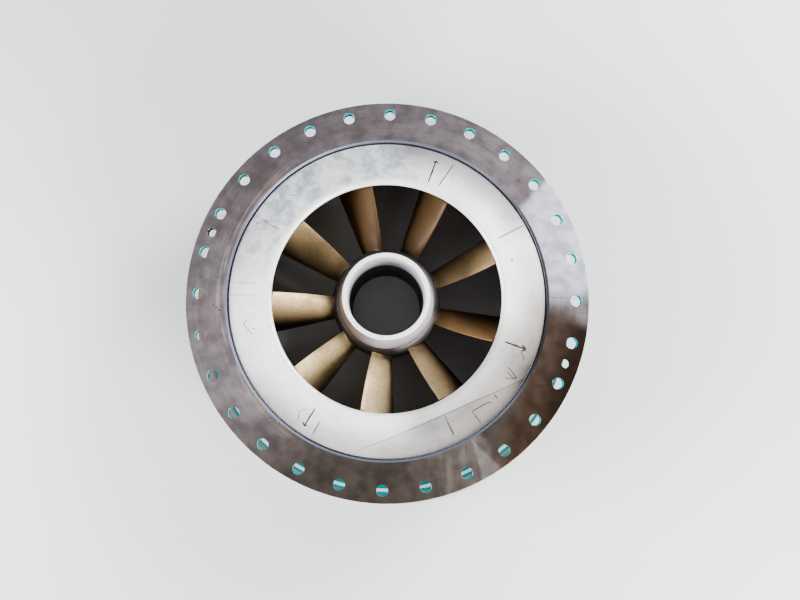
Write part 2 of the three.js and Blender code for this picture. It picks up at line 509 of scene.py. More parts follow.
@dataclass(frozen=True)
class CollarSteel(Finish):
    """The collar's tapered wall: brushed steel, in painted light towards the front right and in brown
    painted shade on the left.
    """

    # Painted light and painted shade of one steel; the shaded tone also colours turned streaks.
    bright: Colour = tint(206, 206, 215)
    shade_and_streaks: Colour = tint(112, 97, 87)
    metallic: float = 0.3
    roughness: float = 0.4

    def make(self) -> Material:
        """Builds the material.

        Returns:
            The material.
        """
        g = Graph("collar_steel", self.shade_and_streaks)
        # Painted light towards the front right over the painted shade.
        g.lay(self.bright, g.facing(-48.0, -0.1, 1.0), g.between(g.noise(20.0, 4.0), 0.85, 1.0))
        g.lay(self.shade_and_streaks, g.ramp(g.turned(500.0, 5.0, 3.0), 0.45, 0.7, 0.0, 0.3))
        g.relief(g.turned(1500.0, 8.0), 0.04 * MM)
        return g.finish(self.metallic, self.roughness)


@dataclass(frozen=True)
class ChamferSteel(Finish):
    """The two chamfers of the groove: cool and smooth, in lit and painted-shade tones, the flange's in
    painted shade on the right, the ring's behind.
    """

    # Lit and painted-shade tones of the two chamfers; the flange's shaded tone also colours turned streaks.
    flange_lit: Colour = tint(102, 109, 124)
    flange_shade_and_streaks: Colour = tint(40, 38, 43)
    ring_lit: Colour = tint(192, 196, 208)
    ring_shaded: Colour = tint(120, 126, 140)
    seam: float = 0.3878
    seam_half: float = 0.1 * MM
    metallic: float = 0.45
    roughness: float = 0.46

    def make(self) -> Material:
        """Builds the material.

        Returns:
            The material.
        """
        g = Graph("chamfer_steel", self.ring_lit)
        # Painted shade behind and near heading 20°, then the flange's chamfer lit and in painted shade on
        # the right.
        g.lay(self.ring_shaded, g.facing(90.0, -0.35, 0.0))
        g.lay(self.flange_shade_and_streaks, g.facing(20.0, 0.80, 0.97), 0.8)
        flange = g.mix(g.facing(3.0, 0.66, 0.92), self.flange_lit, self.flange_shade_and_streaks)
        g.lay(flange, g.ramp(g.radius, self.seam - self.seam_half, self.seam + self.seam_half))
        g.lay(self.flange_shade_and_streaks, g.ramp(g.turned(300.0, 7.0, 3.0), 0.35, 0.7), 0.2)
        g.relief(g.turned(1800.0, 6.0), 0.02 * MM)
        # Less specular near heading 12°, which holds back the lamps' reflection there.
        sheen = g.ramp(g.facing(12.0, 0.95, 0.995), 0.0, 1.0, 0.25, 0.08)
        return g.finish(self.metallic, self.roughness, sheen)


@dataclass(frozen=True)
class TealPaint(Finish):
    """Thick teal paint with a slight orange peel, runs and worn spots, and painted shade below the upper
    flange.
    """

    teal: Colour = tint(16, 184, 187)
    deep: Colour = tint(10, 150, 154)
    # Painted shade below the upper flange.
    below: Colour = tint(0, 76, 82)
    dust: Colour = tint(120, 166, 162)
    under_flange: Point = (0.22, 0.262)
    roughness: Point = (0.36, 0.51)

    def make(self) -> Material:
        """Builds the material.

        Returns:
            The material.
        """
        g = Graph("teal_paint", self.teal)
        cloud = g.noise(11.0, 4.0, 0.6)
        g.lay(self.deep, g.ramp(cloud, 0.35, 0.7))
        g.lay(self.deep, g.ramp(g.stretched(45.0, 45.0, 5.0), 0.55, 0.8), 0.35)
        # Painted shade below the upper flange.
        g.lay(self.below, g.ramp(g.z, *self.under_flange, 0.8, 0.0))
        g.lay(self.dust, g.ramp(g.noise(50.0, 5.0), 0.6, 0.8, 0.0, 0.14))
        g.relief(g.noise(420.0, 2.0), 0.12 * MM)
        g.relief(g.noise(40.0, 3.0), 0.4 * MM)
        return g.finish(0.0, g.between(cloud, *self.roughness))


@dataclass(frozen=True)
class FootFace(Finish):
    """The foot flange's face: bare and machined outside, painted inside, with a bright seal ring and a
    painted highlight on its right side.
    """

    bare: Colour = tint(140, 124, 116)
    worn: Colour = tint(104, 92, 84)
    # A painted highlight on the right side.
    bright: Colour = tint(222, 228, 232)
    teal: Colour = tint(10, 118, 122)
    seal: Colour = tint(196, 204, 206)
    seal_inner: float = 0.492
    seal_outer: float = 0.501
    seal_soft: float = 0.4 * MM
    paint_edge: float = 0.508
    paint_soft: float = 0.5 * MM
    paint_wander: float = 3.0 * MM
    metallic: float = 0.35
    roughness: float = 0.42

    def make(self) -> Material:
        """Builds the material.

        Returns:
            The material.
        """
        g = Graph("foot_face", self.bare)
        g.lay(self.worn, g.ramp(g.turned(180.0, 6.0, 3.0), 0.35, 0.7))
        # Painted highlight on the right side.
        g.lay(self.bright, g.toward(-8.0, 0.38, 0.47))
        where = g.plus(g.radius, g.math("SUBTRACT", g.noise(30.0, 4.0), 0.5), self.paint_wander)
        low = self.paint_edge - self.paint_soft
        g.lay(self.teal, g.ramp(where, low, self.paint_edge + self.paint_soft, 1.0, 0.0))
        g.lay(self.seal, g.band(g.radius, self.seal_inner, self.seal_outer, self.seal_soft))
        g.relief(g.turned(1400.0, 9.0), 0.04 * MM)
        return g.finish(self.metallic, self.roughness)


@dataclass(frozen=True)
class DrumSteel(Finish):
    """The hub drum's matte dark steel, with a painted highlight on the shoulder beside the collar, towards
    the front right.
    """

    dark: Colour = tint(74, 70, 72)
    brown: Colour = tint(62, 49, 38)
    # Lighter turned streaks, and the painted highlight on the shoulder.
    worn: Colour = tint(160, 154, 150)
    shoulder: Point = (0.150, 0.19)
    outside: Point = (0.141, 0.15)
    metallic: float = 0.6
    roughness: Point = (0.42, 0.58)

    def make(self) -> Material:
        """Builds the material.

        Returns:
            The material.
        """
        g = Graph("drum_steel", self.dark)
        cloud = g.noise(18.0, 5.0, 0.6)
        g.lay(self.brown, g.facing(215.0, 0.1, 0.9), g.between(cloud, 0.5, 1.0))
        # Painted highlight on the shoulder towards the front right.
        shoulder_highlight = g.times(g.ramp(g.z, *self.shoulder), g.facing(-48.0, 0.78, 0.95))
        g.lay(self.worn, shoulder_highlight, g.ramp(g.radius, *self.outside, 0.7, 0.0))
        g.lay(self.worn, g.ramp(g.turned(260.0, 9.0, 4.0), 0.58, 0.75), 0.25)
        g.relief(g.turned(1200.0, 8.0), 0.04 * MM)
        g.relief(g.noise(60.0, 4.0), 0.2 * MM)
        return g.finish(self.metallic, g.between(cloud, *self.roughness))


@dataclass(frozen=True)
class VaneBronze(Finish):
    """Cast and ground bronze with brown clouds, grain and specks; painted light and shade by side: light
    gold in front and on the left, browner in painted shade at the back, and painted shade dark below.
    """

    gold: Colour = tint(226, 202, 158)
    # Brown clouds and grain, and painted shade at the back.
    brown: Colour = tint(127, 100, 65)
    # Fine grain and specks, and the painted shade's darkest tone.
    deep: Colour = tint(60, 43, 22)
    half_lit: Colour = tint(88, 66, 36)
    metallic: float = 0.4
    roughness: Point = (0.49, 0.64)
    edge_height: float = 0.0855
    edge_rise: float = 0.711
    reach: float = 0.17
    # Where the painted shade at the hub end fades out.
    hub_end: Point = (0.133, 0.18)

    def below(self, g: Graph) -> None:
        """Lays the painted shade that grows from each vane's upper edge down, sooner on some sides.

        Args:
            g: the material's graph.
        """
        edge = g.plus(self.edge_height, g.radius, self.edge_rise)
        depth = g.math("SUBTRACT", edge, g.z)
        g.lay(self.brown, g.facing(182.0, 0.85, 0.97), g.ramp(depth, 0.0, 0.06, 0.0, 0.6))
        reach = g.plus(self.reach, g.facing(-115.0, 0.80, 0.96), 0.01)
        reach = g.plus(reach, g.facing(-23.0, 0.80, 0.95), -0.06)
        reach = g.plus(reach, g.facing(180.0, 0.80, 0.95), -0.04)
        tone = g.mix(g.facing(128.0, 0.4, 0.8), self.deep, self.half_lit)
        g.lay(tone, g.ramp(depth, 0.0, reach))

    def make(self) -> Material:
        """Builds the material.

        Returns:
            The material.
        """
        g = Graph("vane_bronze", self.gold)
        cloud = g.noise(22.0, 5.0, 0.6)
        # Painted shade by side: browner at the back, darker at the top and on the front right.
        right = g.ramp(g.facing(14.0, 0.88, 0.98), 0.0, 1.0, 1.0, 0.6)
        g.lay(self.brown, g.toward(42.0, -0.15, 0.07), right)
        g.lay(self.brown, g.ramp(cloud, 0.42, 0.72, 0.0, 0.35))
        g.lay(self.deep, g.ramp(g.facing(74.0, 0.75, 0.95), 0.0, 1.0, 0.0, 0.75))
        g.lay(self.deep, g.ramp(g.facing(-60.0, 0.88, 0.98), 0.0, 1.0, 0.0, 0.52))
        g.lay(self.brown, g.ramp(g.stretched(300.0, 300.0, 25.0), 0.5, 0.8), 0.2)
        self.below(g)
        g.lay(self.deep, g.ramp(g.noise(230.0, 4.0, 0.75), 0.4, 0.75, 0.0, 0.4))
        # Painted shade at the hub end, less on the front vane.
        elsewhere = g.math("SUBTRACT", 1.0, g.facing(-92.0, 0.85, 0.97))
        g.lay(self.deep, g.ramp(g.radius, *self.hub_end, 0.7, 0.0), elsewhere)
        g.lay(self.deep, g.specks(160.0), 0.5)
        g.relief(g.noise(260.0, 3.0), 0.06 * MM)
        g.relief(g.noise(25.0, 3.0), 0.5 * MM)
        return g.finish(self.metallic, g.between(cloud, *self.roughness))


@dataclass(frozen=True)
class Graphite(Finish):
    """Pencil and marker lines: dark grey, a little uneven."""

    dark: Colour = tint(22, 20, 22)
    pale: Colour = tint(56, 54, 58)
    roughness: float = 0.5

    def make(self) -> Material:
        """Builds the material.

        Returns:
            The material.
        """
        g = Graph("graphite", self.dark)
        g.lay(self.pale, g.ramp(g.noise(350.0, 3.0), 0.35, 0.7))
        return g.finish(0.0, self.roughness)


@dataclass(frozen=True)
class StudioFloor(Finish):
    """A pale, plain floor, paler where the lights no longer reach it."""

    pale: Colour = (0.64, 0.64, 0.64)
    far: Colour = (0.94, 0.94, 0.94)
    fade: Point = (1.8, 7.0)
    roughness: float = 0.9

    def make(self) -> Material:
        """Builds the material.

        Returns:
            The material.
        """
        g = Graph("studio_floor", self.pale)
        g.lay(self.far, g.ramp(g.radius, *self.fade))
        return g.finish(0.0, self.roughness)


# Meshes


class Corner(NamedTuple):
    """A corner of a turned piece's outline, with the radius that rounds it."""

    radius: float
    height: float
    rounding: float = 0.0


class Extent(NamedTuple):
    """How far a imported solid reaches: its underside, its top and its outer radius."""

    base: float
    top: float
    reach: float


@cache
def extent(node: str) -> Extent:
    """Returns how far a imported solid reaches."""
    low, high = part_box(node)
    return Extent(low.z, high.z, high.x)


def rounded(corners: Sequence[Corner], steps: int = 5) -> list[Point]:
    """Rounds the corners of a closed outline.

    Args:
        corners: the outline's corners in order.
        steps: how many straight bits make one rounded corner.

    Returns:
        The outline's points, radius and height.
    """
    points: list[Point] = []
    for index, corner in enumerate(corners):
        here = Vector(corner[:2])
        if corner.rounding <= 0:
            points.append(tuple(here))
            continue
        to_back = (Vector(corners[index - 1][:2]) - here).normalized()
        to_ahead = (Vector(corners[(index + 1) % len(corners)][:2]) - here).normalized()
        half = to_back.angle(to_ahead) / 2
        centre = here + (to_back + to_ahead).normalized() * (corner.rounding / math.sin(half))
        reach = corner.rounding / math.tan(half)
        start = here + to_back * reach - centre
        turn = start.angle_signed(here + to_ahead * reach - centre)
        for step in range(steps + 1):
            points.append(tuple(centre + Matrix.Rotation(-turn * step / steps, 2) @ start))
    return points


def add_grid(mesh: Mesh, rows: Iterable[Iterable[Vector]]) -> None:
    """Adds a sheet of four-sided faces.

    Args:
        mesh: the mesh that takes it.
        rows: the rows of points, all of one length.
    """
    made = [[mesh.verts.new(point) for point in row] for row in rows]
    for lower, upper in zip(made, made[1:]):
        for corners in zip(lower, lower[1:], upper[1:], upper):
            mesh.faces.new(corners)


def add_tube(mesh: Mesh, loops: Sequence[list[Vector]]) -> None:
    """Adds a tube through closed loops of points, with a face over either end.

    Args:
        mesh: the mesh that takes it.
        loops: the loops, from one end to the other.
    """
    add_grid(mesh, [loop + loop[:1] for loop in loops])
    for loop in (loops[0], loops[-1]):
        mesh.faces.new([mesh.verts.new(point) for point in loop])


def turned(outline: Sequence[Point], steps: int) -> Mesh:
    """Turns a closed outline round the axis.

    Args:
        outline: the outline's points, radius and height.
        steps: how many facets go round.

    Returns:
        The new mesh, still open at its seam.
    """
    mesh = bmesh.new()
    turns = [math.tau * step / steps for step in range(steps + 1)]
    loop = (*outline, outline[0])
    add_grid(mesh, [[polar(radius, turn, height) for turn in turns] for radius, height in loop])
    return mesh


def put(name: str, data: bpy.types.ID) -> bpy.types.Object:
    """Puts an object in the scene.

    Args:
        name: its name.
        data: its mesh, light or camera.

    Returns:
        The new object.
    """
    thing = bpy.data.objects.new(name, data)
    bpy.context.scene.collection.objects.link(thing)
    return thing


def to_object(name: str, mesh: Mesh, finishes: Sequence[type[Finish]]) -> bpy.types.Object:
    """Puts a mesh in the scene with its finishes, and frees it.

    Args:
        name: the object's name.
        mesh: the mesh.
        finishes: its finishes, the main one first.

    Returns:
        The new object.
    """
    data = bpy.data.meshes.new(name)
    mesh.to_mesh(data)
    mesh.free()
    for finish in finishes:
        data.materials.append(material(finish))
    return put(name, data)


def add_piece(name: str, mesh: Mesh, slot: Slot, finishes: Sequence[type[Finish]],
              node: str = "", choose: Choose | None = None, sharp: float = SHARP,
              even: bool = True) -> None:
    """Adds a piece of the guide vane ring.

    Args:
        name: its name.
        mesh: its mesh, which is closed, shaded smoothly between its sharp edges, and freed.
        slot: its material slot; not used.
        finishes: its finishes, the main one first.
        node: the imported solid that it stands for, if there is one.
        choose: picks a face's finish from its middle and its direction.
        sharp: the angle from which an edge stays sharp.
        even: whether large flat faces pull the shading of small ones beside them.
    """
    bmesh.ops.remove_doubles(mesh, verts=mesh.verts, dist=MERGE)
    bmesh.ops.recalc_face_normals(mesh, faces=mesh.faces)
    for face in mesh.faces:
        face.smooth = True
    for edge in mesh.edges:
        edge.smooth = edge.calc_face_angle(0.0) < math.radians(sharp)
    piece = to_object(name, mesh, finishes)
    if choose is not None:
        for face in piece.data.polygons:
            face.material_index = choose(face.center, face.normal)
    if even:
        shading = piece.modifiers.new("even_shading", "WEIGHTED_NORMAL")
        shading.keep_sharp = True
        shading.weight = PULL
    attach(piece, ROOT)
    if node:
        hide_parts(node)
    LOG.info("%s: %d faces", name, len(piece.data.polygons))


# Sub-assemblies


@dataclass
class BoltingFlange:
    """The drilled flange: one strip of mesh for each half bolt pitch, with a hole where one is drilled."""

    node: str = "bolting_flange"
    bore: float = 0.388
    chamfer: float = 4.5 * MM
    edge: float = 1.2 * MM
    bolt_circle: float = 0.4572
    bolts: int = 28
    first_bolt: float = 138.5
    bolt_radius: float = 14.0 * MM
    dowel_radius: float = 11.0 * MM
    dowel_strips: tuple[int, int] = (3, 31)
    hole_edge: float = 0.5 * MM
    patch: float = 24.0 * MM
    patch_corner: float = -135.0
    cells: int = 8
    bare_round_dowel: float = 1.5

    def angle(self, strip: int, across: float = 0.0) -> float:
        """Returns the angle in radians at a share of -1 to 1 across a strip."""
        pitch = 180.0 / self.bolts
        return math.radians(self.first_bolt + pitch * (strip + across / 2))

    def hole(self, strip: int) -> float:
        """Returns the radius of the hole in a strip, or 0 where it has none.

        Args:
            strip: the strip's number.

        Returns:
            The radius.
        """
        if strip % 2 == 0:
            return self.bolt_radius
        return self.dowel_radius if strip in self.dowel_strips else 0.0

    def shares(self) -> list[float]:
        """Returns even shares of -1 to 1, from one side of a patch to the other."""
        return [lerp(-1.0, 1.0, cell / self.cells) for cell in range(self.cells + 1)]

    def patch_point(self, strip: int, across: float, along: float, height: float = 0.0) -> Vector:
        """Returns a point of a strip's patch, at shares of -1 to 1 across and along it."""
        return polar(self.bolt_circle + self.patch * along, self.angle(strip, across), height)

    def drilled(self, mesh: Mesh, strip: int, top: float, base: float) -> None:
        """Adds a strip's patch with its hole.

        Args:
            mesh: the mesh that takes it.
            strip: the strip's number.
            top: the height of the flange's face.
            base: the height of its underside.
        """
        side = self.shares()[:-1]
        rim = [(share, -1.0) for share in side] + [(1.0, share) for share in side]
        rim += [(-across, -along) for across, along in rim]
        edge = [self.patch_point(strip, across, along) for across, along in rim]
        start = self.angle(strip) + math.radians(self.patch_corner)
        circle = [polar(1.0, start - math.tau * step / len(rim), 0.0) for step in range(len(rim))]
        middle = self.patch_point(strip, 0.0, 0.0)
        hole = self.hole(strip)
        wide = hole + self.hole_edge
        rows = []
        for share, radius, height in (
            (0.0, wide, top), (0.5, wide, top), (1.0, wide, top), (1.0, hole, top - self.hole_edge),
            (1.0, hole, base + self.hole_edge), (1.0, wide, base), (0.5, wide, base), (0.0, wide, base),
        ):
            row = [outer.lerp(middle + direction * radius, share) for outer, direction in zip(edge, circle)]
            rows.append([Vector((*point.xy, height)) for point in row + row[:1]])
        add_grid(mesh, rows)

    def make(self) -> None:
        """Builds the flange."""
        base, top, outer = extent(self.node)
        low = self.bolt_circle - self.patch
        high = self.bolt_circle + self.patch
        flat = self.bore + self.chamfer
        inner_side = [(low, top), (lerp(low, flat, 0.5), top), (flat, top), (self.bore, top - self.chamfer),
                      (self.bore, base), (lerp(low, self.bore, 0.5), base), (low, base)]
        outer_side = [(high, top), (outer - self.edge, top), (outer, top - self.edge),
                      (outer, base + self.edge), (outer - self.edge, base), (high, base)]
        shares = self.shares()
        mesh = bmesh.new()
        for strip in range(2 * self.bolts):
            for side in (inner_side, outer_side):
                add_grid(mesh, [[polar(radius, self.angle(strip, share), height) for share in shares]
                                for radius, height in side])
            if self.hole(strip):
                self.drilled(mesh, strip, top, base)
                continue
            for height in (top, base):
                add_grid(mesh, [[self.patch_point(strip, across, along, height) for across in shares]
                                for along in shares])
        dowels = [self.patch_point(strip, 0.0, 0.0).xy for strip in self.dowel_strips]

        def choose(centre: Vector, normal: Vector) -> int:
            """Picks bare steel, chamfer steel or paint.

            Args:
                centre: the face's middle.
                normal: its direction.

            Returns:
                The number of the face's material.
            """
            radius = centre.xy.length
            if radius < flat and normal.z > UPWARD:
                return 1
            if abs(radius - self.bolt_circle) < self.patch - MM and abs(normal.z) < LEVEL:
                near = min((centre.xy - dowel).length for dowel in dowels)
                return 0 if near < self.bare_round_dowel * self.dowel_radius or normal.z > UPWARD else 2
            return 2 if normal.z < -UPWARD else 0

        add_piece("bolting_flange_plate", mesh, Slot.FLANGE, (FlangeSteel, ChamferSteel, TealPaint),
                  self.node, choose)


@dataclass
class WaterPassage:
    """The throat ring, the flared casing and the foot flange, which share one flared inner wall."""

    flare: float = 0.4
    throat: float = 0.275
    lip: float = 9.0 * MM
    lip_inset: float = 0.2 * MM
    lip_rise: float = 1.4 * MM
    lip_steps: int = 8
    wall: float = 9.0 * MM
    ring_edge: float = 0.3877
    ring_edge_top: float = 0.276
    ring_edge_chamfer: float = 4.0 * MM
    crest: float = 0.6 * MM
    ledge: float = 0.420
    corner: float = 1.0 * MM
    foot_corner: float = 1.5 * MM
    seal_depth: float = 0.8 * MM
    steps: int = 288

    def inner(self, height: float) -> float:
        """Returns the passage's radius at a height."""
        return self.throat + self.flare * (extent("throat_ring").top - self.lip - height)

    def make_ring(self) -> None:
        """Builds the throat ring with its rounded lip and coned face."""
        node = "throat_ring"
        base, top, _ = extent(node)
        ledge_top = extent("bolting_flange").base - GAP
        flat = self.ring_edge - self.ring_edge_chamfer
        outline = rounded([
            Corner(self.inner(base), base, self.corner),
            Corner(self.ledge, base, self.corner),
            Corner(self.ledge, ledge_top),
            Corner(self.ring_edge, ledge_top),
            Corner(self.ring_edge, self.ring_edge_top - self.ring_edge_chamfer),
            Corner(flat, self.ring_edge_top, self.crest),
            Corner(self.throat - self.lip_inset, top + self.lip_rise, self.lip),
        ], self.lip_steps)

        def choose(centre: Vector, normal: Vector) -> int:
            """Picks ring steel, chamfer steel or paint.

            Args:
                centre: the face's middle.
                normal: its direction.

            Returns:
                The number of the face's material.
            """
            radius = centre.xy.length
            if flat + self.crest / 2 < radius < self.ring_edge and normal.z > UPWARD:
                return 1
            return 2 if radius > self.ring_edge - self.crest or normal.z < -LEVEL else 0

        add_piece("throat_ring_turned", turned(outline, self.steps), Slot.BRIGHT,
                  (RingSteel, ChamferSteel, TealPaint), node, choose)

    def make_casing(self) -> None:
        """Builds the flared casing, painted outside and bare inside."""
        node = "casing_cone"
        base, top, _ = extent(node)
        low = self.inner(base)
        high = self.inner(top)
        outline = [(low, base), (low + self.wall, base), (high + self.wall, top), (high, top)]
        add_piece("casing_cone_rolled", turned(outline, self.steps), Slot.TEAL, (TealPaint, DrumSteel), node,
                  lambda centre, normal: int(normal.dot(centre) < 0))

    def make_foot(self) -> None:
        """Builds the foot flange with its seal ring groove."""
        node = "foot_flange"
        _, top, outer = extent(node)
        face = FootFace()
        outline = rounded([
            Corner(self.inner(0.0), 0.0),
            Corner(outer, 0.0, self.corner),
            Corner(outer, top, self.foot_corner),
            Corner(face.seal_outer, top),
            Corner(face.seal_outer, top - self.seal_depth),
            Corner(face.seal_inner, top - self.seal_depth),
            Corner(face.seal_inner, top),
            Corner(self.inner(top), top),
        ])
        add_piece("foot_flange_turned", turned(outline, self.steps), Slot.TEAL, (FootFace, TealPaint), node,
                  lambda centre, normal: int(normal.z < UPWARD))


@dataclass
class Ribs:
    """The gusset ribs between the two flanges, with a fillet weld along some edges of their outline."""

    flange: BoltingFlange
    passage: WaterPassage
    count: int = 14
    thickness: float = 12.0 * MM
    top_radius: float = 0.470
    foot_radius: float = 0.505
    bevel: float = 1.2 * MM
    sharp: float = 50.0
    welded: tuple[tuple[int, int], ...] = ((0, 1), (5, 0), (2, 3))
    weld: float = 7.0 * MM
    weld_step: float = 4.0 * MM
    weld_sink: float = 0.5 * MM
    weld_end: float = 0.35
    weld_growth: float = 3.0
    weld_hollow: float = 0.86
    weld_crown: float = 0.08
    weld_arms: tuple[float, ...] = (0.0, 30.0, 60.0, 90.0)
    ripple: float = 0.12

    def outline(self) -> list[Point]:
        """Returns a rib's outline, radius and height, once round.

        Returns:
            The outline's points, from the lower inner corner outward.
        """
        base, top, _ = extent("gusset_rib_1")
        ledge = self.passage.ledge + GAP
        under = extent("casing_cone").top
        clear = self.passage.wall + GAP
        return [(self.passage.inner(base) + clear, base), (self.foot_radius, base), (self.top_radius, top),
                (ledge, top), (ledge, under), (self.passage.inner(under) + clear, under)]

    def make(self) -> None:
        """Builds every rib, halfway between two bolts, and one mesh with all the welds."""
        outline = self.outline()
        strips = 2 * self.flange.bolts // self.count
        welds = bmesh.new()
        for index in range(self.count):
            angle = self.flange.angle(1 + strips * index)
            right = polar(1.0, angle + math.tau / 4, 0.0)
            loops = []
            for side in (-right, right):
                loop = [polar(radius, angle, height) + side * (self.thickness / 2)
                        for radius, height in outline]
                loops.append(loop)
                middle = sum(loop, Vector((0.0, 0.0, 0.0))) / len(loop)
                for first, second in self.welded:
                    self.bead(welds, loop[first], loop[second], side, middle)
            mesh = bmesh.new()
            add_tube(mesh, loops)
            bmesh.ops.remove_doubles(mesh, verts=mesh.verts, dist=MERGE)
            bmesh.ops.recalc_face_normals(mesh, faces=mesh.faces)
            bmesh.ops.bevel(mesh, geom=list(mesh.edges), offset=self.bevel, segments=2, affect="EDGES")
            add_piece(f"gusset_plate_{index + 1}", mesh, Slot.TEAL, (TealPaint,), f"gusset_rib_{index + 1}",
                      sharp=self.sharp)
        add_piece("rib_welds", welds, Slot.TEAL, (TealPaint,), sharp=SOFT)

    def bead(self, mesh: Mesh, start: Vector, end: Vector, side: Vector, middle: Vector) -> None:
        """Adds one rippled fillet weld between two points.

        Args:
            mesh: the mesh that takes it.
            start: where it starts, in the corner between rib and plate.
            end: where it ends.
            side: the direction away from the rib's face.
            middle: the middle of that face, which the weld climbs towards.
        """
        run = end - start
        up = run.cross(side).normalized()
        if up.dot(middle - start) < 0:
            up.negate()
        steps = max(2, round(run.length / self.weld_step))
        rows = []
        for step in range(steps + 1):
            taper = min(1.0, self.weld_growth * min(step, steps - step) / steps + self.weld_end)
            swell = self.weld * taper * (1.0 + self.ripple * (step % 2))
            here = start + run * (step / steps)
            row = [here - (up + side) * self.weld_sink]
            for arm in map(math.radians, self.weld_arms):
                bulge = swell * (self.weld_hollow + self.weld_crown * math.sin(2 * arm))
                row.append(here + (side * math.cos(arm) + up * math.sin(arm)) * bulge)
            rows.append(row)
        add_tube(mesh, rows)


@dataclass
class Hub:
    """The bright collar, the dark drum below it and the drum's base ring."""

    bore: float = 94.0 * MM
    collar_top: float = 105.5 * MM
    collar_base: float = 121.0 * MM
    collar_edge: float = 1.5 * MM
    spigot: float = 106.0 * MM
    spigot_base: float = 0.186
    drum: float = 138.5 * MM
    drum_top: float = 118.0 * MM
    drum_shoulder: float = 0.160
    shoulder_steps: int = 12
    base_edge: float = 1.0 * MM
    steps: int = 192

    def radius(self, height: float) -> float:
        """Returns the drum's outer radius at a height.

        Args:
            height: the height.

        Returns:
            The radius.
        """
        rise = (height - self.drum_shoulder) / (extent("hub_drum").top - self.drum_shoulder)
        rise = max(0.0, min(rise, 1.0))
        return lerp(self.drum_top, self.drum, math.sqrt(1.0 - rise * rise))

    def make_collar(self) -> None:
        """Builds the collar."""
        node = "hub_collar"
        base, top, _ = extent(node)
        seat = extent("hub_drum").top + GAP
        spigot = self.spigot - GAP
        outline = rounded([
            Corner(self.bore, base),
            Corner(spigot, base),
            Corner(spigot, seat),
            Corner(self.collar_base, seat, self.collar_edge),
            Corner(self.collar_top, top, self.collar_edge),
            Corner(self.bore, top, self.collar_edge),
        ])
        add_piece("hub_collar_turned", turned(outline, self.steps), Slot.BRIGHT, (RingSteel, CollarSteel),
                  node, lambda at, normal: int(at.xy.length > self.collar_top and abs(normal.z) < LEVEL))

    def make_drum(self) -> None:
        """Builds the drum with its rounded shoulder."""
        node = "hub_drum"
        base, top, _ = extent(node)
        turns = (math.tau / 4 * step / self.shoulder_steps for step in range(self.shoulder_steps + 1))
        levels = [lerp(self.drum_shoulder, top, math.sin(turn)) for turn in turns]
        shoulder = [(self.radius(level), level) for level in levels]
        outline = [(self.bore, base), (self.drum, base), *shoulder,
                   (self.spigot, top), (self.spigot, self.spigot_base), (self.bore, self.spigot_base)]
        add_piece("hub_drum_turned", turned(outline, self.steps), Slot.DARK, (DrumSteel,), node)

    def make_base(self) -> None:
        """Builds the base ring."""
        node = "hub_base_ring"
        _, top, outer = extent(node)
        outline = rounded([
            Corner(self.bore, 0.0, self.base_edge),
            Corner(outer, 0.0, self.base_edge),
            Corner(outer, top, self.base_edge),
            Corner(self.bore, top),
        ])
        add_piece("hub_base_turned", turned(outline, self.steps), Slot.DARK, (DrumSteel,), node)


class VaneEnd(NamedTuple):
    """One end of a vane: the height of its upper edge, the depth over which it turns, and how far."""

    top: float
    bend: float
    turn: float


